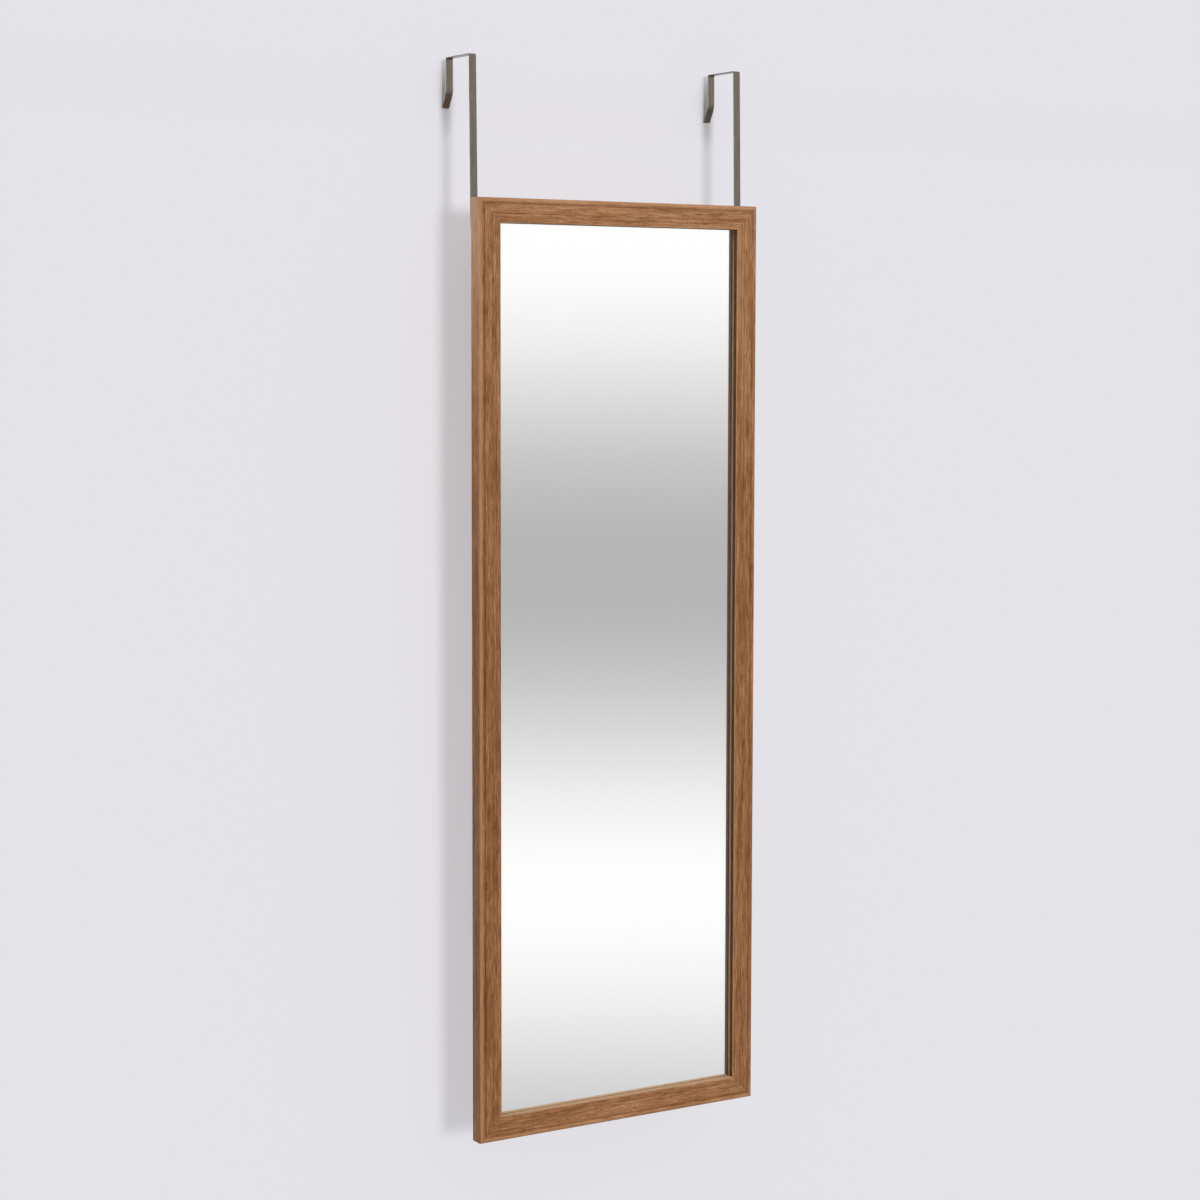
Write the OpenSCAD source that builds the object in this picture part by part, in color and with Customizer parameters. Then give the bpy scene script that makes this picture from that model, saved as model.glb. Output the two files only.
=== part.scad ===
// Over the door mirror: a framed mirror pane that hangs from two bent metal straps.
// Millimetres, +Z up, the mirror faces -Y.
// Origin: on the top edge of the door, on the door's front face, midway between the hooks.

/* [Frame] */
// Width of the frame over its sides
frame_w = 330; // [280:1:420]
// Height of the frame
frame_h = 940; // [800:1:1300]
// Width of the moulding, from the frame's side to the mirror
moulding_w = 24.5; // [23.5:0.5:40]
// Depth of the moulding, front to back
moulding_d = 17.5; // [17:0.5:24]
// Depth of the lip, from the front of the moulding to the glass
lip_d = 6.5; // [5:0.5:7]
// How far the lip laps over the edge of the glass
glass_lap = 5; // [4:0.5:5.5]

/* [Moulding profile] */
// Radius of the bead along the outer front edge
bead_r = 3; // [2.8:0.1:3.3]
// Distance of the bead's crest from the frame's side
bead_inset = 2.8; // [2.7:0.1:2.9]
// Distance of the groove from the frame's side
groove_inset = 5.8; // [5.6:0.1:5.9]
// Depth of the groove below the bead's crest
groove_depth = 1.6; // [1.5:0.1:2.2]
// How far the flat of the moulding lies below the bead's crest
face_drop = 0.4; // [0.2:0.1:0.8]
// Radius of the rounded edge beside the mirror
sight_r = 1; // [0.8:0.1:2]
// Size of the chamfer along the lip's back edge, beside the glass
lip_chamfer = 0.4; // [0.2:0.1:2]
// Radius of the outer back edge
back_r = 1.5; // [0.5:0.1:2]
// Depth of the two fine scored lines on the flat
score_depth = 0.25; // [0.1:0.05:0.4]

/* [Mirror and backing] */
// Thickness of the glass
glass_t = 3; // [2:0.5:4]
// Thickness of the silver and paint coat
coat_t = 0.2; // [0.1:0.05:0.4]
// Thickness of the cardboard sheet
card_t = 1; // [0.5:0.5:2]
// Thickness of the backing board
board_t = 3; // [2:0.5:3]
// Gap between the pane's edge and the wall of the rebate
pane_gap = 0.5; // [0.3:0.1:1]

/* [Hooks] */
// Width of the strap
strap_w = 8; // [8:0.5:10]
// Thickness of the strap
strap_t = 1; // [0.8:0.1:2]
// Distance of the strap's outer edge from the frame's side
strap_inset = 4; // [2:0.5:5]
// Gap between the strap and the hook's back leg, for the door
door_gap = 46; // [36:1:50]
// Height of the door's top edge above the frame's top
hang_height = 139.5; // [60:0.5:200]
// Length of the strap behind the frame
strap_tail = 127; // [125:1:160]
// How far the strap is cranked back behind the frame, to stand off it at the frame's top
crank = 6.5; // [5:0.5:9]
// How far the strap leans back, from that crank up to the door's top edge
lean = 3; // [1:0.5:4]
// Inner radius of the bends over the door
bend_r = 1; // [0.8:0.1:3]
// Straight length of the back leg below the door's top
leg_drop = 34; // [20:1:60]
// How far the tail of the back leg flares away from the door
flare_out = 8; // [4:1:14]
// Height of that flare
flare_drop = 14; // [10:1:25]
// How far the hook can be set up or down from its middle
hook_travel = 10; // [4:1:10]

/* [Fixings] */
// Distance of the upper hook screw from the frame's top
upper_screw = 66; // [66:1:70]
// Distance of the lower hook screw from the frame's top
lower_screw = 104; // [96:1:104]
// Length of a hook screw below its head
screw_length = 12; // [10:0.5:14]
// Radius of a bumper pad
bumper_r = 5; // [4:0.5:7]
// Distance of a bumper pad from the frame's bottom
bumper_height = 30; // [26:1:80]
// Number of backing tabs along each stile
side_tabs = 5; // [2:1:9]
// Number of backing tabs along each rail
rail_tabs = 2; // [1:1:3]

/* [Hidden] */

eps = 0.01;              // what a cutter runs past the face that it opens
cut_over = 5;            // the same for a large block
slide_gap = 0.05;        // running clearance on each face of a sliding strap

// Hook screws and washers
washer_t = 0.6;
washer_r = 3.5;
washer_bore_r = 1.6;
head_t = 1.8;
head_r = 2.9;
head_round = 1.1;
shank_r = 1.4;
pilot_r = 1.45;
pilot_over = 0.5;        // what the pilot hole is deeper than the screw
tip_length = 3;
tip_r = 0.2;
recess_w = 0.8;          // arm width of the cross recess
recess_l = 2.8;
recess_d = 0.9;
slot_r = 1.75;

// Levels: the door's face is Y = 0, and the top of each strap lies on it
strap_y = -(strap_t + lean + crank);               // front face of the strap's tail
washer_y = strap_y + strap_t + slide_gap;          // front face of the washers
back_y = strap_y - slide_gap;                      // back face of the frame
front_y = back_y - moulding_d;                     // crest of the bead
glass_y = front_y + lip_d;
coat_y = glass_y + glass_t;
card_y = coat_y + coat_t;
board_y = card_y + card_t;
tab_y = board_y + board_t;                         // the tabs lie on the board
head_y = washer_y + washer_t;                      // under the screw heads

// Levels from top to bottom
top_z = -hang_height;
bottom_z = top_z - frame_h;
middle_z = (top_z + bottom_z) / 2;

// The rebate and what lies in it
wall_w = moulding_w - glass_lap - pane_gap;        // wall of the rebate, behind the lip
pane_w = frame_w - 2 * (wall_w + pane_gap);
pane_h = frame_h - 2 * (wall_w + pane_gap);

// Backing tabs: flat, with a rounded end on the board and a square end in the wall
tab_t = 0.5;
tab_w = 8;
tab_on_board = 11;
tab_in_wall = 6;
tab_corner = 2;
tab_end_margin = 90;     // from the frame's end to the first tab of a stile

// V-nails: an L in plan with its corner on the mitre
nail_t = 0.6;
nail_arm = 6;
nail_depth = 9;
nail_sunk = 0.3;
nail_places = [4.5, 11.5]; // from the frame's corner, along each edge

// Line of the strap and its screws
strap_x = frame_w / 2 - strap_inset - strap_w / 2;
screw_zs = [top_z - upper_screw, top_z - lower_screw];
crank_high = 26;         // upper end of the crank, below the frame's top
crank_low = 50;          // its lower end
crank_r = 10;            // radius of its two bends
flare_r = 16;            // radius of the bend into the flare
bend_steps = 8;

// Bumper pads fill the gap between the frame's back and the door
bumper_t = -back_y;
bumper_margin = 0.5;     // from a pad to the edge of the rebate
bumper_x = frame_w / 2 - wall_w + bumper_r + bumper_margin;
bumper_round = 0.8;

// Points of an arc in the plane, from angle a0 to a1
function arc(cx, cy, r, a0, a1, n) =
    [for (i = [0 : n]) [cx + r * cos(a0 + (a1 - a0) * i / n), cy + r * sin(a0 + (a1 - a0) * i / n)]];

// Section of the moulding: first number from the frame's side inwards, second from the front back
bead_steps = 16;
sight_steps = 6;
back_steps = 4;
groove_step = 0.4;       // width of each of the groove's three facets
score_half = 0.3;        // half the width of a scored line
score_places = [15.2, 19]; // from the frame's side
bead_start = -180 + acos(bead_inset / bead_r);
bead_end = -acos((groove_inset - groove_step - bead_inset) / bead_r);
section = concat(
    arc(bead_inset, bead_r, bead_r, bead_start, bead_end, bead_steps),
    [[groove_inset, groove_depth], [groove_inset + groove_step, groove_depth],
     [groove_inset + 2 * groove_step, face_drop]],
    [for (s = score_places) each [[s - score_half, face_drop], [s, face_drop + score_depth],
                                  [s + score_half, face_drop]]],
    arc(moulding_w - sight_r, face_drop + sight_r, sight_r, -90, 0, sight_steps),
    [[moulding_w, lip_d - lip_chamfer], [moulding_w - lip_chamfer, lip_d],
     [wall_w, lip_d], [wall_w, moulding_d]],
    arc(back_r, moulding_d - back_r, back_r, 90, 180, back_steps));

// What is cut off one end of a length of moulding to mitre it
module mitre_block(length) {
    size = 2 * moulding_w;
    translate([-length / 2, -cut_over, 0]) rotate([0, 45, 0]) translate([-cut_over, 0, -size])
        cube([size + cut_over, moulding_d + 2 * cut_over, size]);
}

// A mitred length of moulding along X, its outer side at Z = 0 and its front at Y = 0
module moulding(length) {
    difference() {
        rotate([0, 90, 0]) linear_extrude(length, center = true) polygon(section);
        mitre_block(length);
        mirror([1, 0, 0]) mitre_block(length);
    }
}

// The V-nails of the top left corner; grow lengthens them to cut their sockets
module corner_nails(grow = 0) {
    for (p = nail_places)
        translate([-frame_w / 2 + p, back_y - nail_sunk + grow, top_z - p])
            rotate([90, 0, 0]) linear_extrude(nail_depth + grow)
                polygon([[0, 0], [nail_arm, 0], [nail_arm, -nail_t], [nail_t, -nail_t],
                         [nail_t, -nail_arm], [0, -nail_arm]]);
}

// The same nails in the corner on side sx (-1 left, 1 right) and sz (1 top, -1 bottom)
module nails_at(sx, sz, grow = 0) {
    translate([0, 0, sz > 0 ? 0 : 2 * middle_z])
        mirror([0, 0, sz > 0 ? 0 : 1]) mirror([sx > 0 ? 1 : 0, 0, 0]) corner_nails(grow);
}

// One tab, its length along X: the end in the wall is at negative X
module tab() {
    rotate([90, 0, 0]) translate([0, 0, -tab_t]) linear_extrude(tab_t)
        polygon([[-tab_in_wall, -tab_w / 2], [tab_on_board - tab_corner, -tab_w / 2],
                 [tab_on_board, -tab_w / 2 + tab_corner], [tab_on_board, tab_w / 2 - tab_corner],
                 [tab_on_board - tab_corner, tab_w / 2], [-tab_in_wall, tab_w / 2]]);
}

// Tabs along the left stile
module side_tab_row() {
    pitch = side_tabs > 1 ? (frame_h - 2 * tab_end_margin) / (side_tabs - 1) : 0;
    for (i = [0 : side_tabs - 1])
        translate([-frame_w / 2 + wall_w, tab_y, top_z - tab_end_margin - i * pitch]) tab();
}

// Tabs along the top rail
module rail_tab_row() {
    pitch = frame_w / (rail_tabs + 1);
    for (i = [1 : rail_tabs])
        translate([-frame_w / 2 + i * pitch, tab_y, top_z - wall_w]) rotate([0, 90, 0]) tab();
}

// Tabs of the bottom rail, which mirror those of the top rail
module low_rail_tab_row() {
    translate([0, 0, 2 * middle_z]) mirror([0, 0, 1]) rail_tab_row();
}

// A pan head with a cross recess, its flat side at Z = 0
module screw_head() {
    difference() {
        rotate_extrude($fn = 48) polygon(concat([[0, 0], [head_r, 0]],
            arc(head_r - head_round, head_t - head_round, head_round, 0, 90, 6), [[0, head_t]]));
        for (a = [0, 90]) rotate([0, 0, a])
            translate([-recess_l / 2, -recess_w / 2, head_t - recess_d])
                cube([recess_l, recess_w, recess_d + eps]);
    }
}

// A pan-head screw along Z, its shank pointing to negative Z
module screw() {
    union() {
        screw_head();
        translate([0, 0, tip_length - screw_length])
            cylinder(r = shank_r, h = screw_length - tip_length, $fn = 32);
        translate([0, 0, -screw_length]) cylinder(r1 = tip_r, r2 = shank_r, h = tip_length, $fn = 32);
    }
}

// The two screws of the right hook
module hook_screw_pair() {
    for (z = screw_zs) translate([strap_x, head_y, z]) rotate([-90, 0, 0]) screw();
}

// The pilot holes for those screws in the right stile
module pilot_holes() {
    depth = screw_length - (head_y - back_y) + pilot_over;
    for (z = screw_zs) translate([strap_x, back_y + eps, z]) rotate([90, 0, 0])
        cylinder(r = pilot_r, h = depth + eps, $fn = 32);
}

// The two washers of the right hook
module washer_pair() {
    for (z = screw_zs) translate([strap_x, washer_y, z]) rotate([-90, 0, 0])
        difference() {
            cylinder(r = washer_r, h = washer_t, $fn = 48);
            translate([0, 0, -eps]) cylinder(r = washer_bore_r, h = washer_t + 2 * eps, $fn = 48);
        }
}

// Middle line of the strap, seen from its side as [Y, Z]: tail, crank, over the door, back leg, flare
strap_mid = strap_y + strap_t / 2;
line = [[strap_mid, top_z - strap_tail],
        [strap_mid, top_z - crank_low],
        [strap_mid + crank, top_z - crank_high],
        [-strap_t / 2, strap_t / 2],
        [door_gap + strap_t / 2, strap_t / 2],
        [door_gap + strap_t / 2, -leg_drop],
        [door_gap + strap_t / 2 + flare_out, -leg_drop - flare_drop]];
turn_r = [0, crank_r, crank_r, bend_r + strap_t / 2, bend_r + strap_t / 2, flare_r, 0];

// Heading of one stretch of the line, in degrees
function heading(i) = atan2(line[i + 1][1] - line[i][1], line[i + 1][0] - line[i][0]);

// How far the line turns at a corner, from -180 to 180
function turning(i) = let (a = heading(i) - heading(i - 1)) a > 180 ? a - 360 : a < -180 ? a + 360 : a;

// Stations along the rounded line, each [Y, Z, heading]
function corner_stations(i) =
    let (a = turning(i), r = turn_r[i], reach = r * tan(abs(a) / 2), h = heading(i - 1),
         start = [line[i][0] - reach * cos(h), line[i][1] - reach * sin(h)],
         side = a > 0 ? 1 : -1,
         centre = [start[0] - side * r * sin(h), start[1] + side * r * cos(h)])
    [for (k = [0 : bend_steps]) let (b = h + a * k / bend_steps)
        [centre[0] + side * r * sin(b), centre[1] - side * r * cos(b), b]];
stations = concat([[line[0][0], line[0][1], heading(0)]],
                  [for (i = [1 : len(line) - 2]) each corner_stations(i)],
                  [[line[len(line) - 1][0], line[len(line) - 1][1], heading(len(line) - 2)]]);
function beside(s, off) = [s[0] - off * sin(s[2]), s[1] + off * cos(s[2])];
strap_outline = concat([for (s = stations) beside(s, strap_t / 2)],
                       [for (i = [len(stations) - 1 : -1 : 0]) beside(stations[i], -strap_t / 2)]);

// A slot through the strap, centred on a screw
module strap_slot() {
    translate([0, strap_y - eps, 0]) rotate([-90, 0, 0]) {
        translate([-slot_r, -hook_travel, 0])
            cube([2 * slot_r, 2 * hook_travel, strap_t + 2 * eps]);
        for (s = [-1, 1]) translate([0, s * hook_travel, 0])
            cylinder(r = slot_r, h = strap_t + 2 * eps, $fn = 32);
    }
}

// The right hook: one strap, bent over the door, with two slots in its tail
module hook() {
    difference() {
        translate([strap_x - strap_w / 2, 0, 0])
            multmatrix([[0, 0, 1, 0], [1, 0, 0, 0], [0, 1, 0, 0], [0, 0, 0, 1]])
                linear_extrude(strap_w) polygon(strap_outline);
        for (z = screw_zs) translate([strap_x, 0, z]) strap_slot();
    }
}

// A round rubber pad with a softened rim
module bumper() {
    translate([bumper_x, back_y, bottom_z + bumper_height]) rotate([-90, 0, 0])
        rotate_extrude($fn = 48) polygon(concat([[0, 0], [bumper_r, 0]],
            arc(bumper_r - bumper_round, bumper_t - bumper_round, bumper_round, 0, 90, 4),
            [[0, bumper_t]]));
}

// A sheet that fills the rebate, its front at y
module sheet(y, t) {
    translate([-pane_w / 2, y, middle_z - pane_h / 2]) cube([pane_w, t, pane_h]);
}

module top_rail() {
    color("#9c7048") difference() {
        translate([0, front_y, top_z]) moulding(frame_w);
        for (sx = [-1, 1]) nails_at(sx, 1, nail_sunk + eps);
        rail_tab_row();
    }
}

module bottom_rail() {
    color("#9c7048") difference() {
        translate([0, front_y, bottom_z]) rotate([0, 180, 0]) moulding(frame_w);
        for (sx = [-1, 1]) nails_at(sx, -1, nail_sunk + eps);
        low_rail_tab_row();
    }
}

module stile() {
    difference() {
        translate([frame_w / 2, front_y, middle_z]) rotate([0, 90, 0]) moulding(frame_h);
        for (sz = [-1, 1]) nails_at(1, sz, nail_sunk + eps);
        mirror([1, 0, 0]) side_tab_row();
        pilot_holes();
    }
}

module right_stile() { color("#9c7048") stile(); }
module left_stile() { color("#9c7048") mirror([1, 0, 0]) stile(); }

module top_left_v_nails() { color("silver") nails_at(-1, 1); }
module top_right_v_nails() { color("silver") nails_at(1, 1); }
module bottom_left_v_nails() { color("silver") nails_at(-1, -1); }
module bottom_right_v_nails() { color("silver") nails_at(1, -1); }

module mirror_glass() { color("#cfe3e0", 0.4) sheet(glass_y, glass_t); }
module silver_coat() { color("#e8ebee") sheet(coat_y, coat_t); }
module cardboard_sheet() { color("#b08d62") sheet(card_y, card_t); }
module backing_board() { color("#7a5a3c") sheet(board_y, board_t); }

module top_tabs() { color("#8d8f92") rail_tab_row(); }
module bottom_tabs() { color("#8d8f92") low_rail_tab_row(); }
module left_tabs() { color("#8d8f92") side_tab_row(); }
module right_tabs() { color("#8d8f92") mirror([1, 0, 0]) side_tab_row(); }

module right_hook() { color("#766c62") hook(); }
module left_hook() { color("#766c62") mirror([1, 0, 0]) hook(); }
module right_hook_screws() { color("#b9babb") hook_screw_pair(); }
module left_hook_screws() { color("#b9babb") mirror([1, 0, 0]) hook_screw_pair(); }
module right_hook_washers() { color("#a9aaab") washer_pair(); }
module left_hook_washers() { color("#a9aaab") mirror([1, 0, 0]) washer_pair(); }
module right_bumper() { color("#3a3836") bumper(); }
module left_bumper() { color("#3a3836") mirror([1, 0, 0]) bumper(); }

top_rail();
bottom_rail();
left_stile();
right_stile();
top_left_v_nails();
top_right_v_nails();
bottom_left_v_nails();
bottom_right_v_nails();
mirror_glass();
silver_coat();
cardboard_sheet();
backing_board();
top_tabs();
bottom_tabs();
left_tabs();
right_tabs();
left_hook();
right_hook();
left_hook_screws();
right_hook_screws();
left_hook_washers();
right_hook_washers();
left_bumper();
right_bumper();
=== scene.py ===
"""Looks of the over the door mirror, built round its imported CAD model.

The frame is foil-wrapped fibreboard, the hooks are brushed steel straps, and the pane is clear glass
in front of a silver coat. Lengths are in metres, in the CAD model's own frame: +Z up, the mirror
faces -Y, the origin lies on the door's top edge.
"""

import math

import bmesh
import bpy
from mathutils import Euler, Matrix, Vector


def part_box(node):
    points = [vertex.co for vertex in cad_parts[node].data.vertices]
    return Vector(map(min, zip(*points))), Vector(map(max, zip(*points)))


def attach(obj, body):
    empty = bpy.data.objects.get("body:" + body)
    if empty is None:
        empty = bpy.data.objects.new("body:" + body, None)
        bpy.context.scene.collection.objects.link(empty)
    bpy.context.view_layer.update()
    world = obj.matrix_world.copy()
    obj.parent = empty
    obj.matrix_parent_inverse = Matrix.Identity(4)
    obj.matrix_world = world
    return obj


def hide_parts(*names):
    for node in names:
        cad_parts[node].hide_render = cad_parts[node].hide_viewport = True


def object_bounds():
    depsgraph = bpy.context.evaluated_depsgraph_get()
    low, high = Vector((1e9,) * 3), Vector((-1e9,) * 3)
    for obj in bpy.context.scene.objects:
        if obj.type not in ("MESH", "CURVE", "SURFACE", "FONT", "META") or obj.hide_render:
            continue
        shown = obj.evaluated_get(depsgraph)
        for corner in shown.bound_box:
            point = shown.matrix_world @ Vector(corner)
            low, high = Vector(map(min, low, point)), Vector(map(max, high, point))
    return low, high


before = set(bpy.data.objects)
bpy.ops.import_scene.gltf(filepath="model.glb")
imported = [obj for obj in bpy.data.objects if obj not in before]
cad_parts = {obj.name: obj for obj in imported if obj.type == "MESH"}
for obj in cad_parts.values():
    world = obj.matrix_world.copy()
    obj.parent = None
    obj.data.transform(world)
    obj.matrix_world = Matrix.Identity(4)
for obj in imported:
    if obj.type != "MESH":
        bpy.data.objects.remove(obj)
cad_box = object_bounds()
scene = bpy.context.scene
MM = 0.001

# The framed mirror's own edges, from its mouldings
RAIL_LOW, RAIL_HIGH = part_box("top_rail")
STILE_LOW, STILE_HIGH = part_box("left_stile")
LEFT_X, RIGHT_X = RAIL_LOW.x, RAIL_HIGH.x
TOP_Z, FOOT_Z = STILE_HIGH.z, STILE_LOW.z
FRONT_Y = RAIL_LOW.y
MOULDING_W = STILE_HIGH.x - STILE_LOW.x


# ---------------------------------------------------------------- node trees

SCREEN_GAMMA = 2.2


def srgb(r, g, b):
    """A colour written as 0 to 255 on screen, as Blender's linear values."""
    return tuple((v / 255) ** SCREEN_GAMMA for v in (r, g, b)) + (1.0,)


def grey(v):
    return (v, v, v, 1.0)


class Nodes:
    """A material's or world's node tree, with one short call per node."""

    def __init__(self, owner):
        owner.use_nodes = True
        self.tree = owner.node_tree
        self.tree.nodes.clear()

    def add(self, kind, inputs=(), **settings):
        node = self.tree.nodes.new(kind)
        for key, value in settings.items():
            setattr(node, key, value)
        for key, value in dict(inputs).items():
            self.put(node.inputs[key], value)
        return node

    def put(self, socket, value):
        if isinstance(value, bpy.types.NodeSocket):
            self.tree.links.new(value, socket)
        else:
            socket.default_value = value

    def math(self, operation, a, b=0.0):
        return self.add("ShaderNodeMath", {0: a, 1: b}, operation=operation).outputs[0]

    def plus(self, a, b):
        return self.math("ADD", a, b)

    def minus(self, a, b):
        return self.math("SUBTRACT", a, b)

    def times(self, a, b):
        return self.math("MULTIPLY", a, b)

    def larger(self, a, b):
        return self.math("MAXIMUM", a, b)

    def step(self, value, low, high):
        """0 at low, 1 at high, smooth between, whichever of the two is greater."""
        node = self.add("ShaderNodeMapRange", {0: value, 1: low, 2: high},
                        interpolation_type="SMOOTHSTEP")
        return node.outputs[0]

    def mix(self, factor, a, b, blend="MIX"):
        node = self.add("ShaderNodeMix", data_type="RGBA", blend_type=blend)
        self.put(node.inputs[0], factor)
        self.put(node.inputs[6], a)
        self.put(node.inputs[7], b)
        return node.outputs[2]

    def noise(self, vector, scale, detail=2.0, roughness=0.5, distortion=0.0):
        node = self.add("ShaderNodeTexNoise", {"Vector": vector, "Scale": scale, "Detail": detail,
                                               "Roughness": roughness, "Distortion": distortion})
        return node.outputs[0]

    def streaky(self, vector, sizes, **kind):
        """A noise whose features are this big along X, Y and Z."""
        scale = tuple(1 / s for s in sizes)
        stretched = self.add("ShaderNodeMapping", {"Vector": vector, "Scale": scale}).outputs[0]
        return self.noise(stretched, 1.0, **kind)

    def ramp(self, value, stops):
        node = self.add("ShaderNodeValToRGB", {0: value})
        elements = node.color_ramp.elements
        while len(elements) < len(stops):
            elements.new(0.5)
        for element, (place, colour) in zip(elements, stops):
            element.position = place
            element.color = colour
        return node.outputs[0]

    def axes(self, vector):
        return self.add("ShaderNodeSeparateXYZ", {0: vector}).outputs

    def place(self):
        return self.add("ShaderNodeTexCoord").outputs["Object"]

    def light_path(self):
        """The kinds of ray, and 1 for one that a matt surface has scattered."""
        path = self.add("ShaderNodeLightPath").outputs
        return path, self.math("GREATER_THAN", path["Diffuse Depth"], 0.5)

    def bump(self, height, distance, strength):
        return self.add("ShaderNodeBump", {"Height": height, "Distance": distance,
                                           "Strength": strength}).outputs[0]

    def principled(self, **inputs):
        """The main shader. A space in a socket's name is written as _."""
        named = {key.replace("_", " "): value for key, value in inputs.items()}
        return self.add("ShaderNodeBsdfPrincipled", named)

    def mix_shaders(self, factor, a, b):
        return self.add("ShaderNodeMixShader", {0: factor, 1: a.outputs[0], 2: b.outputs[0]})

    def output(self, shader, kind="Material"):
        self.add("ShaderNodeOutput" + kind, {0: shader.outputs[0]})


def new_material(name):
    material = bpy.data.materials.new(name)
    return material, Nodes(material)


def dress(node, material):
    """Gives a CAD node or a new piece that one material."""
    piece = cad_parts[node] if isinstance(node, str) else node
    piece.data.materials.clear()
    piece.data.materials.append(material)


# ---------------------------------------------------------------- foil on the mouldings

# Places on the moulding's section. U runs inwards from the frame's outer side to the mirror, and D
# back from the frame's front.
BEAD_U = 4.6 * MM            # inner edge of the bead
GROOVE_U = (5.8 * MM, 6.2 * MM)
SCORE_US = (15.2 * MM, 19.0 * MM)
REBATE_U = 18.9 * MM         # the rebate is further in than this
SIGHT_U = 23.4 * MM          # where the rounded edge beside the mirror starts
LIP_TURN_U = 23.7 * MM       # the foil turns in round the lip this far
FOIL_TURN_U = 3.0 * MM       # how far the foil turns in over the back
LIP_D = 6.45 * MM            # the back of the lip
RAW_BACK_D = 17.4 * MM       # the frame's back, where no foil covers it

FOIL_DARK = srgb(106, 67, 38)
FOIL_BROWN = srgb(134, 92, 60)
FOIL_MID = srgb(153, 108, 74)
FOIL_LIGHT = srgb(178, 134, 99)
# Painted highlight: the bead and the rounded edge beside the mirror are painted paler where the light
# catches them
FOIL_HIGHLIGHT = srgb(196, 150, 112)
# Painted sheen: a pale grey laid on the outer side near the top, where a broad light glints on the
# foil
FOIL_SHEEN = srgb(190, 167, 148)
BOARD_RAW = srgb(232, 208, 186)
BOARD_FLECK = srgb(204, 178, 152)
PRIMER = srgb(236, 208, 180)
# Painted shade on the narrow wall by the glass of the stiles and the top rail
WALL_SHADE = srgb(88, 62, 42)
# Painted light on the bottom rail's wall by the glass, which faces up towards the light
WALL_LIT = srgb(220, 178, 136)
SEAM = srgb(84, 52, 32)

# Feature sizes of the grain and of its pores: fine across the moulding, long along it
GRAIN_ACROSS, GRAIN_ALONG = 1.1 * MM, 17 * MM
PORE_ACROSS, PORE_ALONG = 0.65 * MM, 3.2 * MM
DRIFT_SIZE = 4.5             # the slow drift of tone is this much larger than the grain
DRIFT_SHARE = 0.24
FOIL_TONES = ((0.35, FOIL_DARK), (0.455, FOIL_BROWN), (0.53, FOIL_MID), (0.65, FOIL_LIGHT))
PORE_NOISE = (0.44, 0.34)    # no pore above the first, a full one below the second

# Where each mark lies: where it starts to show and where it is full, in U and then in D
ON_BEAD = (BEAD_U, BEAD_U - 0.8 * MM), (2.2 * MM, 1.2 * MM)
ON_SIGHT = (SIGHT_U, SIGHT_U + 0.5 * MM), (2.0 * MM, 1.2 * MM)
ON_WALL = (MOULDING_W - 0.3 * MM, MOULDING_W - 0.05 * MM), (1.0 * MM, 1.8 * MM)
TURNED_IN = (SIGHT_U, SIGHT_U + 0.1 * MM), (LIP_D - 0.5 * MM, LIP_D - 0.4 * MM)
IN_REBATE = (REBATE_U - 0.02 * MM, REBATE_U), (LIP_D - 0.02 * MM, LIP_D)
ON_BACK = (FOIL_TURN_U, FOIL_TURN_U + 0.3 * MM), (RAW_BACK_D - 0.05 * MM, RAW_BACK_D)
OUTER_HALF_U = (3.4 * MM, 1.6 * MM)
OUTER_SIDE_U = (0.8 * MM, 0.1 * MM)
INSIDE_LIP_TURN_U = (LIP_TURN_U, LIP_TURN_U - 0.1 * MM)
# Heights over which the painted sheen on the outer side fades in towards the top
SHEEN_Z = (-0.34, -0.16)
GROOVE_BLUR = 0.4 * MM
OFF_SCORE = (0.7 * MM, 0.2 * MM)     # off a scored line's middle
OFF_SEAM = (0.3 * MM, 0.1 * MM)      # off a mitre

# How strongly each mark covers the foil
# The scored lines' share is painted shade in their fine hollows
PORE_INK, SCORE_SHADE, SEAM_INK = 0.55, 0.3, 0.3
SEAM_INK_BEHIND = 0.4        # added to the seams on the bare back
# The first is the painted highlight on the rounded edge beside the mirror, the second the painted
# sheen on the outer side
SIGHT_HIGHLIGHT, SIDE_SHEEN = 0.4, 0.15

STREAK_RELIEF, PORE_RELIEF = 0.4, -0.6
FOIL_ROUGHNESS, STREAK_ROUGHNESS, BOARD_ROUGHNESS = 0.36, 0.16, 0.35


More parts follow.
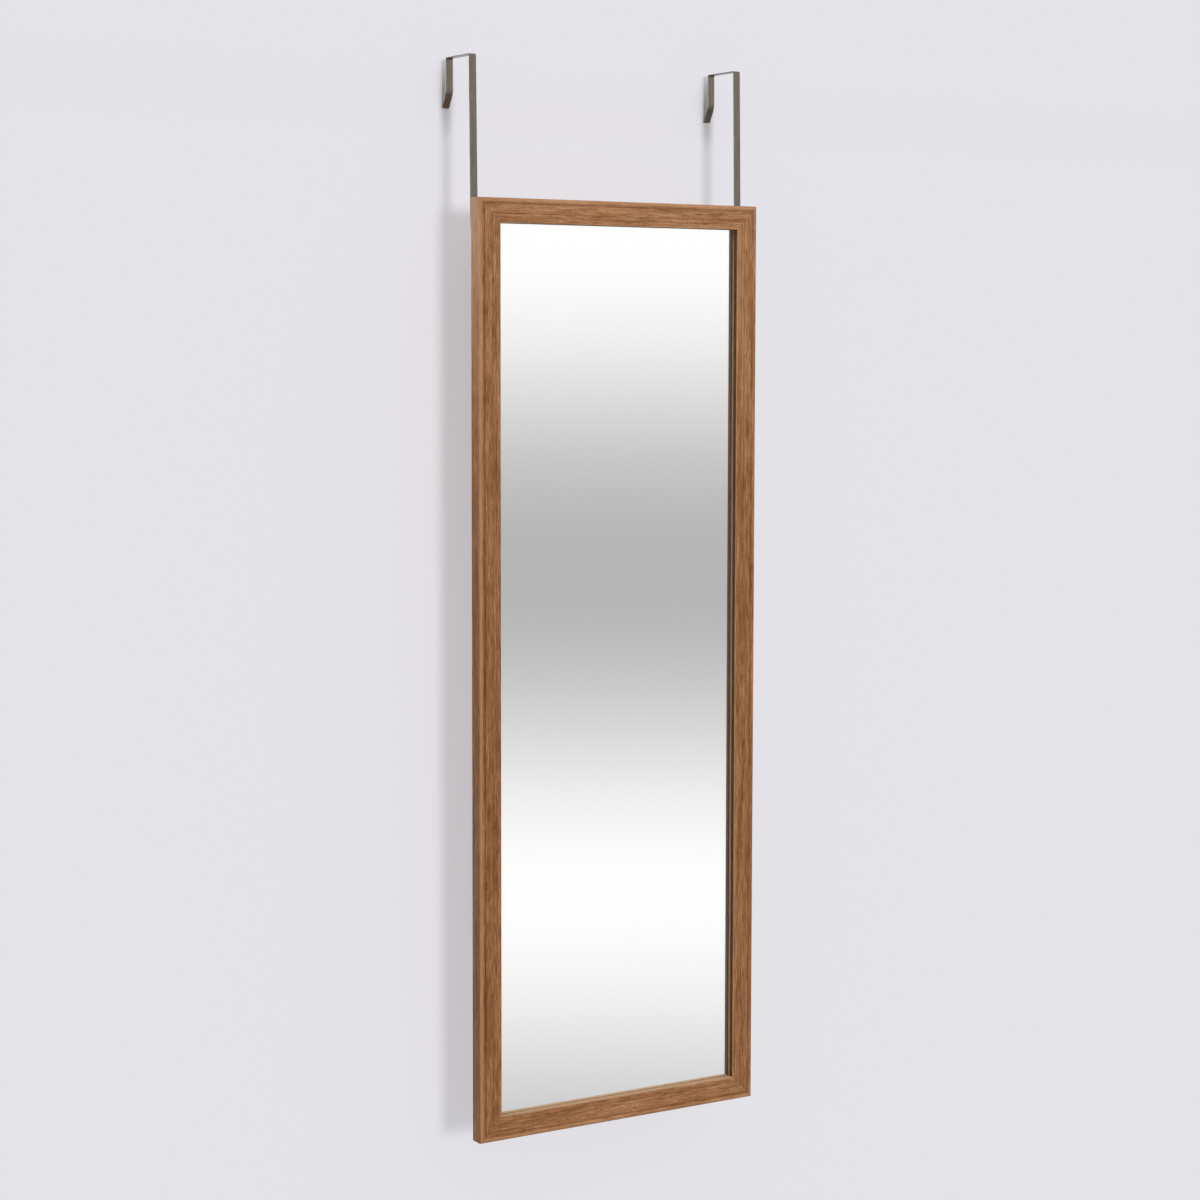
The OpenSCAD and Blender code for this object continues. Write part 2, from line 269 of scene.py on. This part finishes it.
class Foil:
    """Walnut foil on fibreboard, laid layer by layer on one length of moulding.

    side and ends are (axis, edge, sign) each: how to measure inwards from the frame's outer side
    and from the two mitred ends. Each layer's method works on the colour left by those before it."""

    def __init__(self, name, side, ends):
        self.material, self.n = new_material(name)
        self.place = self.n.place()
        self.xyz = dict(zip("xyz", self.n.axes(self.place)))
        self.u = self.inwards(side)
        self.d = self.n.minus(self.xyz["y"], FRONT_Y)
        self.ends = ends

    def inwards(self, rule):
        axis, edge, sign = rule
        return self.n.times(self.n.minus(self.xyz[axis], edge), sign)

    def where(self, u_steps, d_steps):
        """A mask that rises over these steps of U and of D."""
        return self.n.times(self.n.step(self.u, *u_steps), self.n.step(self.d, *d_steps))

    def cover(self, mask, share, colour):
        self.colour = self.n.mix(self.n.times(mask, share), self.colour, colour)

    def grain(self, grain_sizes, pore_sizes, seed, lift):
        """Streaks, short dark pores and a slow drift of tone. lift is painted light and shade: it
        makes the foil paler, or darker below 0, at the frame's top and from half its height down."""
        n = self.n
        shift = (seed, seed * 0.37, seed * 1.61)
        shifted = n.add("ShaderNodeVectorMath", {0: self.place, 1: shift}).outputs[0]
        self.streaks = n.streaky(shifted, grain_sizes, detail=4.0, roughness=0.72, distortion=0.15)
        drift = n.streaky(shifted, [s * DRIFT_SIZE for s in grain_sizes], detail=1.0)
        tone = n.plus(n.times(self.streaks, 1 - DRIFT_SHARE), n.times(drift, DRIFT_SHARE))
        # Painted light and shade by height: paler at the frame's top and darker from half its height
        # down
        low_down = n.step(self.xyz["z"], TOP_Z, (TOP_Z + FOOT_Z) / 2)
        tone = n.plus(tone, n.plus(n.times(low_down, lift[1] - lift[0]), lift[0]))
        self.colour = n.ramp(tone, FOIL_TONES)
        self.pores = n.step(n.streaky(shifted, pore_sizes), *PORE_NOISE)
        self.cover(self.pores, PORE_INK, FOIL_DARK)

    def paint_highlights(self, bead_all_over, bead_outer_half):
        """The bead and the rounded edge beside the mirror get a painted highlight, and the outer side
        a painted grey sheen near the top."""
        n = self.n
        # Painted highlight on the bead, strongest on its outer half where the light falls, and on the
        # rounded edge beside the mirror
        outer_half = n.times(n.step(self.u, *OUTER_HALF_U), bead_outer_half)
        bead = n.times(self.where(*ON_BEAD), n.plus(outer_half, bead_all_over))
        sight = n.times(self.where(*ON_SIGHT), SIGHT_HIGHLIGHT)
        self.cover(n.larger(bead, sight), 1.0, FOIL_HIGHLIGHT)
        # Painted sheen: the outer side turns greyer and paler towards the top
        sheen = n.times(n.step(self.u, *OUTER_SIDE_U), n.step(self.xyz["z"], *SHEEN_Z))
        self.cover(sheen, SIDE_SHEEN, FOIL_SHEEN)

    def shade_lines(self, groove_shade):
        """The groove and the scored lines get painted shade, which stands for the shade in their
        hollows.
        """
        n = self.n
        # Painted shade in the groove, set for each length by how much shade its lit shape already
        # gives
        groove = n.times(n.step(self.u, GROOVE_U[0] - GROOVE_BLUR, GROOVE_U[0]),
                         n.step(self.u, GROOVE_U[1] + GROOVE_BLUR, GROOVE_U[1]))
        self.cover(groove, groove_shade, FOIL_DARK)
        for line in SCORE_US:
            off = n.math("ABSOLUTE", n.minus(self.u, line))
            self.cover(n.step(off, *OFF_SCORE), SCORE_SHADE, FOIL_DARK)

    def wall_by_the_glass(self, colour, amount):
        """The narrow wall between the rounded edge and the glass, and the foil turned in behind it,
        get painted shade, and on the bottom rail, whose wall faces up, painted light.
        """
        self.cover(self.n.larger(self.where(*ON_WALL), self.where(*TURNED_IN)), amount, colour)

    def bare_board(self):
        """Bare board shows on the back, and primed board inside the rebate."""
        n = self.n
        fleck = n.noise(self.place, scale=900.0, detail=4.0, roughness=0.7)
        raw = n.mix(n.step(fleck, 0.42, 0.62), BOARD_FLECK, BOARD_RAW)
        in_rebate = n.times(self.where(*IN_REBATE), n.step(self.u, *INSIDE_LIP_TURN_U))
        self.on_back = self.where(*ON_BACK)
        self.bare = n.larger(in_rebate, self.on_back)
        self.colour = n.mix(self.bare, self.colour, n.mix(in_rebate, raw, PRIMER))

    def seams(self):
        """A fine line along each mitre, plainer on the bare back."""
        n = self.n
        amount = n.plus(n.times(self.on_back, SEAM_INK_BEHIND), SEAM_INK)
        for end in self.ends:
            off = n.math("ABSOLUTE", n.minus(self.inwards(end), self.u))
            self.cover(n.step(off, *OFF_SEAM), amount, SEAM)

    def finished(self):
        """The material: satin foil with fine relief, and rougher bare board."""
        n = self.n
        relief = n.plus(n.times(self.streaks, STREAK_RELIEF), n.times(self.pores, PORE_RELIEF))
        uneven = n.plus(n.times(self.streaks, STREAK_ROUGHNESS), n.times(self.bare, BOARD_ROUGHNESS))
        n.output(n.principled(Base_Color=self.colour, Roughness=n.plus(uneven, FOIL_ROUGHNESS),
                              Specular_IOR_Level=0.12,
                              Normal=n.bump(relief, distance=0.05 * MM, strength=0.6)))
        return self.material


def foil_wood(name, side, ends, sizes, seed, lift, groove_shade, wall, bead_highlight):
    """The foil of one length of moulding. sizes are those of its grain and its pores, lift is painted
    light and shade: how much paler it is at the top and low down, wall is the colour painted on the
    wall by the glass, shade on most lengths and light on the bottom rail, and its share, and the last
    is how strong the painted highlight on the bead is all over, and how much more on its outer half."""
    foil = Foil(name, side, ends)
    foil.grain(*sizes, seed, lift)
    foil.paint_highlights(*bead_highlight)
    foil.shade_lines(groove_shade)
    foil.wall_by_the_glass(*wall)
    foil.bare_board()
    foil.seams()
    return foil.finished()


def dress_the_frame():
    upright = ((GRAIN_ACROSS, GRAIN_ACROSS, GRAIN_ALONG), (PORE_ACROSS, PORE_ACROSS, PORE_ALONG))
    level = tuple(sizes[::-1] for sizes in upright)
    x_ends = (("x", LEFT_X, 1.0), ("x", RIGHT_X, -1.0))
    z_ends = (("z", TOP_Z, -1.0), ("z", FOOT_Z, 1.0))
    # Each length's lift, groove darkening, colour of the wall by the glass and bead highlight are
    # painted light and shade, set apart for each side by how the light falls on it
    dress("left_stile", foil_wood(
        "foil_left", x_ends[0], z_ends, upright, seed=0.31, lift=(0.016, -0.037),
        groove_shade=0.0, wall=(WALL_SHADE, 0.6), bead_highlight=(0.08, 0.35)))
    dress("right_stile", foil_wood(
        "foil_right", x_ends[1], z_ends, upright, seed=1.77, lift=(0.037, -0.02),
        groove_shade=0.45, wall=(WALL_SHADE, 0.75), bead_highlight=(0.1, 0.0)))
    dress("top_rail", foil_wood(
        "foil_top", z_ends[0], x_ends, level, seed=2.93, lift=(0.058, 0.058),
        groove_shade=0.15, wall=(WALL_SHADE, 0.3), bead_highlight=(0.2, 0.1)))
    dress("bottom_rail", foil_wood(
        "foil_bottom", z_ends[1], x_ends, level, seed=4.19, lift=(0.014, 0.014),
        groove_shade=0.4, wall=(WALL_LIT, 0.85), bead_highlight=(0.15, 0.0)))


# ---------------------------------------------------------------- other materials

def hook_metal():
    """Satin steel with a warm grey tint, brushed along the strap."""
    material, n = new_material("hook_metal")
    place = n.place()
    brush = n.streaky(place, (0.22 * MM, 30 * MM, 30 * MM), detail=3.0, roughness=0.6)
    bands = n.streaky(place, (2.4 * MM, 60 * MM, 22 * MM))
    tint = n.mix(brush, srgb(103, 95, 88), srgb(134, 125, 117))
    tint_in_bands = n.mix(brush, srgb(97, 91, 80), srgb(124, 117, 105))
    n.output(n.principled(Base_Color=n.mix(n.step(bands, 0.40, 0.62), tint, tint_in_bands),
                          Metallic=1.0, Roughness=n.plus(n.times(brush, 0.12), 0.20),
                          Normal=n.bump(brush, distance=0.02 * MM, strength=0.5)))
    return material


def clear_glass():
    """Clear float glass that lets the lamps, and light scattered by the frame, straight through."""
    material, n = new_material("clear_glass")
    waves = n.noise(n.place(), scale=9.0, detail=1.0)
    tint = n.mix(waves, (0.994, 0.996, 0.993, 1), (0.997, 0.999, 0.996, 1))
    glass = n.principled(Base_Color=tint, Roughness=0.0, IOR=1.5, Transmission_Weight=1.0)
    path, scattered = n.light_path()
    straight = n.larger(path["Is Shadow Ray"], scattered)
    n.output(n.mix_shaders(straight, glass, n.add("ShaderNodeBsdfTransparent")))
    return material


def silver():
    """Silver in front, grey backing paint behind."""
    material, n = new_material("silver")
    normal = n.axes(n.add("ShaderNodeNewGeometry").outputs["Normal"])["Y"]
    front = n.step(normal, -0.5, -0.9)
    speck = n.noise(n.place(), scale=700.0)
    paint = n.mix(speck, srgb(96, 104, 108), srgb(116, 124, 126))
    colour = n.mix(front, paint, (0.965, 0.962, 0.96, 1))
    n.output(n.principled(Base_Color=colour, Metallic=front, Roughness=n.step(front, 1.0, 0.0)))
    return material


def hardboard():
    """Brown hardboard, its fibres and flecks in three tones under a soft cloudiness."""
    material, n = new_material("backing_board")
    place = n.place()
    fleck = n.noise(place, scale=420.0, detail=5.0, roughness=0.72)
    fibre = n.streaky(place, (2 * MM, 2 * MM, 7 * MM), detail=4.0, roughness=0.7, distortion=0.8)
    cloud = n.noise(place, scale=14.0, detail=3.0)
    tones = ((0.33, srgb(84, 58, 38)), (0.5, srgb(118, 86, 60)), (0.68, srgb(146, 112, 82)))
    colour = n.ramp(n.plus(n.times(fibre, 0.5), n.times(fleck, 0.5)), tones)
    colour = n.mix(n.times(cloud, 0.35), colour, srgb(98, 70, 48))
    n.output(n.principled(Base_Color=colour, Roughness=n.plus(n.times(fleck, 0.2), 0.5),
                          Normal=n.bump(fibre, distance=0.1 * MM, strength=0.5)))
    return material


def cardboard():
    material, n = new_material("cardboard")
    fleck = n.noise(n.place(), scale=500.0, detail=4.0, roughness=0.7)
    colour = n.mix(fleck, srgb(150, 118, 84), srgb(186, 154, 118))
    n.output(n.principled(Base_Color=colour, Roughness=0.9))
    return material


def zinc(name, dark, light, roughness):
    """Zinc-plated steel with a faint crystalline mottle and fine scratches."""
    material, n = new_material(name)
    place = n.place()
    mottle = n.noise(place, scale=1400.0, detail=3.0, roughness=0.6)
    scratch = n.streaky(place, (0.25 * MM, 3 * MM, 3 * MM))
    n.output(n.principled(Base_Color=n.mix(mottle, dark, light), Metallic=1.0,
                          Roughness=n.plus(n.times(scratch, 0.2), roughness),
                          Normal=n.bump(mottle, distance=0.01 * MM, strength=0.4)))
    return material


def rubber():
    material, n = new_material("bumper_rubber")
    grain = n.noise(n.place(), scale=2600.0, detail=3.0, roughness=0.6)
    n.output(n.principled(Base_Color=n.mix(grain, srgb(38, 37, 36), srgb(58, 56, 54)),
                          Roughness=n.plus(n.times(grain, 0.2), 0.6),
                          Normal=n.bump(grain, distance=0.03 * MM, strength=0.5)))
    return material


def dress_the_rest():
    hooks = hook_metal()
    plated = zinc("screw_steel", srgb(176, 178, 182), srgb(206, 207, 208), roughness=0.22)
    tabs = zinc("tab_steel", srgb(150, 151, 154), srgb(180, 181, 184), roughness=0.3)
    nails = zinc("nail_steel", srgb(96, 98, 104), srgb(132, 134, 140), roughness=0.35)
    pads = rubber()
    for side in ("left", "right"):
        dress(side + "_hook", hooks)
        dress(side + "_hook_screws", plated)
        dress(side + "_hook_washers", plated)
        dress(side + "_bumper", pads)
        dress(side + "_tabs", tabs)
        for end in ("top", "bottom"):
            dress(f"{end}_{side}_v_nails", nails)
    dress("top_tabs", tabs)
    dress("bottom_tabs", tabs)
    dress("silver_coat", silver())
    dress("cardboard_sheet", cardboard())
    dress("backing_board", hardboard())


# ---------------------------------------------------------------- pieces

STRAP_EDGE, BOARD_EDGE = 0.2 * MM, 0.3 * MM
SHARP_FROM = math.radians(50)
SAME_POINT = 0.001 * MM
PANE_CLEAR = 0.04 * MM       # off the lip in front and the silver behind
PANE_ARRIS = 0.5 * MM


def round_edges(node, width):
    """Softens a CAD node's sharp edges with modifiers, which leave its mesh as it is."""
    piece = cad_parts[node]
    weld = piece.modifiers.new("weld", "WELD")
    weld.merge_threshold = SAME_POINT
    bevel = piece.modifiers.new("bevel", "BEVEL")
    bevel.width = width
    bevel.segments = 2
    bevel.limit_method = "ANGLE"
    bevel.angle_limit = SHARP_FROM
    bevel.harden_normals = False


def round_the_edges():
    for hook in ("left_hook", "right_hook"):
        round_edges(hook, STRAP_EDGE)
    round_edges("backing_board", BOARD_EDGE)


def glass_pane():
    """The pane, with its edges ground to a narrow arris. It stands for the CAD node mirror_glass."""
    low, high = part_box("mirror_glass")
    mesh = bpy.data.meshes.new("mirror_pane")
    b = bmesh.new()
    bmesh.ops.create_cube(b, size=1.0)
    bmesh.ops.scale(b, vec=high - low - Vector((0, 2 * PANE_CLEAR, 0)), verts=b.verts)
    bmesh.ops.translate(b, vec=(low + high) / 2, verts=b.verts)
    bmesh.ops.bevel(b, geom=b.edges[:], offset=PANE_ARRIS, segments=1, affect="EDGES")
    b.to_mesh(mesh)
    b.free()
    pane = bpy.data.objects.new("mirror_pane", mesh)
    scene.collection.objects.link(pane)
    dress(pane, clear_glass())
    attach(pane, "framed_mirror")
    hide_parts("mirror_glass")


# ---------------------------------------------------------------- stage

STAGE_COLOUR = srgb(228, 227, 233)
STAGE_REACH = 30.0
WALL_GAP = 0.3 * MM          # from the hooks' tails to the wall behind them
DOOR_HEIGHT = 2.0            # from the floor to the top of the door
STAGE_LIGHT = 1.06           # how brightly the lamps light the wall
STAGE_GLOW = 0.51            # share of the stage's tone that is its own, which keeps shadows pale
GLOW_LOW_DOWN = 0.1          # more of it at the frame's foot
GLOW_BY_TAILS = 0.5          # less of it behind the hooks' tails, whose shadows are deep
TAILS_FROM_Z = (-0.085, -0.05)
TAILS_TO_Z = (0.01, -0.035)


def one_sided(name, colour):
    """A pale matt surface that can't be seen from behind, with a glow of its own."""
    material, n = new_material(name)
    height = n.axes(n.place())["Z"]
    glow = n.plus(n.times(n.step(height, TOP_Z, FOOT_Z), GLOW_LOW_DOWN), STAGE_GLOW)
    by_tails = n.times(n.step(height, *TAILS_FROM_Z), n.step(height, *TAILS_TO_Z))
    glow = n.minus(glow, n.times(by_tails, GLOW_BY_TAILS))
    matt_colour = tuple(v / STAGE_LIGHT for v in colour[:3]) + (1.0,)
    matt = n.add("ShaderNodeBsdfDiffuse", {"Color": matt_colour})
    light = n.add("ShaderNodeEmission", {"Color": colour, "Strength": 1.0})
    behind = n.add("ShaderNodeNewGeometry").outputs["Backfacing"]
    n.output(n.mix_shaders(behind, n.mix_shaders(glow, matt, light),
                           n.add("ShaderNodeBsdfTransparent")))
    return material


def plane(name, corners):
    """A stage plane that only the camera sees and the lamps light."""
    mesh = bpy.data.meshes.new(name)
    mesh.from_pydata(corners, [], [(0, 1, 2, 3)])
    sheet = bpy.data.objects.new(name, mesh)
    sheet.data.materials.append(one_sided(name, STAGE_COLOUR))
    sheet.visible_diffuse = False
    sheet.visible_glossy = False
    sheet.visible_transmission = False
    sheet.visible_shadow = False
    scene.collection.objects.link(sheet)


def stage():
    far = STAGE_REACH
    wall_y = cad_box[1].y + WALL_GAP
    floor_z = cad_box[1].z - DOOR_HEIGHT
    plane("backdrop", [(-far, wall_y, floor_z), (far, wall_y, floor_z),
                       (far, wall_y, far), (-far, wall_y, far)])
    plane("floor", [(-far, -far, floor_z), (far, -far, floor_z),
                    (far, far, floor_z), (-far, far, floor_z)])


# What the mirror shows of the studio in front of it: levels on screen by elevation in degrees
STUDIO_LEVELS = ((-90, 176), (-42, 168), (-21, 150), (-11.6, 254), (-5.0, 180), (-4.5, 180),
                 (2.2, 254), (45, 250), (90, 235))
STUDIO_GAIN = 1.055          # makes up for what the glass and the silver take
MIRRORED_LAMPS = 1.1         # how much more light the mirror throws back than it shows
AMBIENT_LEVELS = ((-90, 0.12), (0, 0.17), (90, 0.72))
AMBIENT_FRONT = 0.26         # more light from the side that the mirror faces
BANDS_END_Y = (-0.05, 0.1)   # rays that point towards the wall show its tone, not the bands


def by_elevation(n, height, stops):
    """A ramp of greys over (elevation in degrees, value), its stops joined by smooth steps. height
    is the sine of the elevation that is looked up."""
    sines = [math.sin(math.radians(e)) for e, _ in stops]
    span = sines[-1] - sines[0]
    place = n.math("DIVIDE", n.minus(height, sines[0]), span)
    ramp = n.ramp(place, [((s - sines[0]) / span, grey(v)) for s, (_, v) in zip(sines, stops)])
    ramp.node.color_ramp.interpolation = "EASE"
    return ramp


def mirrored_studio(n, to, thrown_back):
    """What glass and metal show of the studio: soft bands in front, the wall's tone behind."""
    levels = by_elevation(n, to["Z"], [(e, v / 255) for e, v in STUDIO_LEVELS])
    bands = n.times(n.math("POWER", levels, SCREEN_GAMMA), STUDIO_GAIN)
    mirrored = n.mix(n.step(to["Y"], *BANDS_END_Y), bands, STAGE_COLOUR)
    # The lamps can't be seen in the mirror, so what it throws back on the frame is made up for here
    return n.mix(thrown_back, mirrored, n.mix(1.0, mirrored, grey(MIRRORED_LAMPS), "MULTIPLY"))


def studio():
    """The world: even pale light, and the studio that glass and metal show."""
    world = bpy.data.worlds.new("studio")
    scene.world = world
    n = Nodes(world)
    to = n.axes(n.add("ShaderNodeTexCoord").outputs["Generated"])
    path, scattered = n.light_path()
    front = n.times(n.larger(n.times(to["Y"], -1.0), 0.0), AMBIENT_FRONT)
    ambient = n.mix(1.0, by_elevation(n, to["Z"], AMBIENT_LEVELS), front, "ADD")
    shiny = n.larger(path["Is Glossy Ray"], path["Is Transmission Ray"])
    colour = n.mix(shiny, ambient, mirrored_studio(n, to, scattered))
    colour = n.mix(path["Is Camera Ray"], colour, STAGE_COLOUR)
    n.output(n.add("ShaderNodeBackground", {"Color": colour, "Strength": 1.0}), kind="World")


def sun(name, azimuth, elevation, share, spread):
    """A far lamp. Azimuth 0 is straight in front, 90 to the right. share is how bright it makes a
    white surface that faces it, and spread the angle across it in degrees."""
    data = bpy.data.lights.new(name, "SUN")
    data.energy = share * math.pi
    data.angle = math.radians(spread)
    a, e = math.radians(azimuth), math.radians(elevation)
    back = Vector((math.sin(a) * math.cos(e), -math.cos(a) * math.cos(e), math.sin(e)))
    light = bpy.data.objects.new(name, data)
    light.rotation_euler = back.to_track_quat("Z", "Y").to_euler()
    light.visible_glossy = False
    light.visible_transmission = False
    scene.collection.objects.link(light)


def bulb(name, place, share, reach, size):
    """A soft near lamp. share is how bright it makes a white surface that faces it at that reach."""
    data = bpy.data.lights.new(name, "POINT")
    data.energy = share * 4 * math.pi ** 2 * reach ** 2
    data.shadow_soft_size = size
    light = bpy.data.objects.new(name, data)
    light.location = place
    light.visible_transmission = False
    scene.collection.objects.link(light)


def lamps():
    sun("key", azimuth=-1.3, elevation=7.5, share=0.61, spread=13.5)
    sun("back_fill", azimuth=180, elevation=35, share=0.35, spread=60)
    sun("right_fill", azimuth=125, elevation=20, share=0.3, spread=50)
    # Two lamps behind and to the left light the left side, the upper one more
    bulb("side_fill_high", (-0.55, 0.28, 0.0), share=0.8, reach=0.55, size=0.12)
    bulb("side_fill_low", (-0.7, 0.3, -1.25), share=0.24, reach=0.55, size=0.15)


# ---------------------------------------------------------------- camera

CAMERA_AT = (-1.4458, -2.31, -0.2869)
CAMERA_YAW = 31.887          # turned from +Y towards +X
CAMERA_DIP = 4.602           # looks down by this
CAMERA_ROLL = 0.098
FOCAL_PX, PHOTO_PX = 2671.1, 1200
HORIZON_RISE_PX = 36


def camera():
    data = bpy.data.cameras.new("camera")
    data.sensor_width = 36.0
    data.lens = data.sensor_width * FOCAL_PX / PHOTO_PX
    data.shift_y = -HORIZON_RISE_PX / PHOTO_PX
    data.clip_start, data.clip_end = 0.05, 200.0
    eye = bpy.data.objects.new("camera", data)
    eye.location = CAMERA_AT
    turn = Euler((math.radians(90 - CAMERA_DIP), 0, math.radians(-CAMERA_YAW))).to_matrix()
    eye.rotation_euler = (turn @ Matrix.Rotation(math.radians(CAMERA_ROLL), 3, "Z")).to_euler()
    scene.collection.objects.link(eye)
    scene.camera = eye


camera()
dress_the_frame()
dress_the_rest()
round_the_edges()
glass_pane()
stage()
studio()
lamps()
scene.view_settings.view_transform = "Standard"
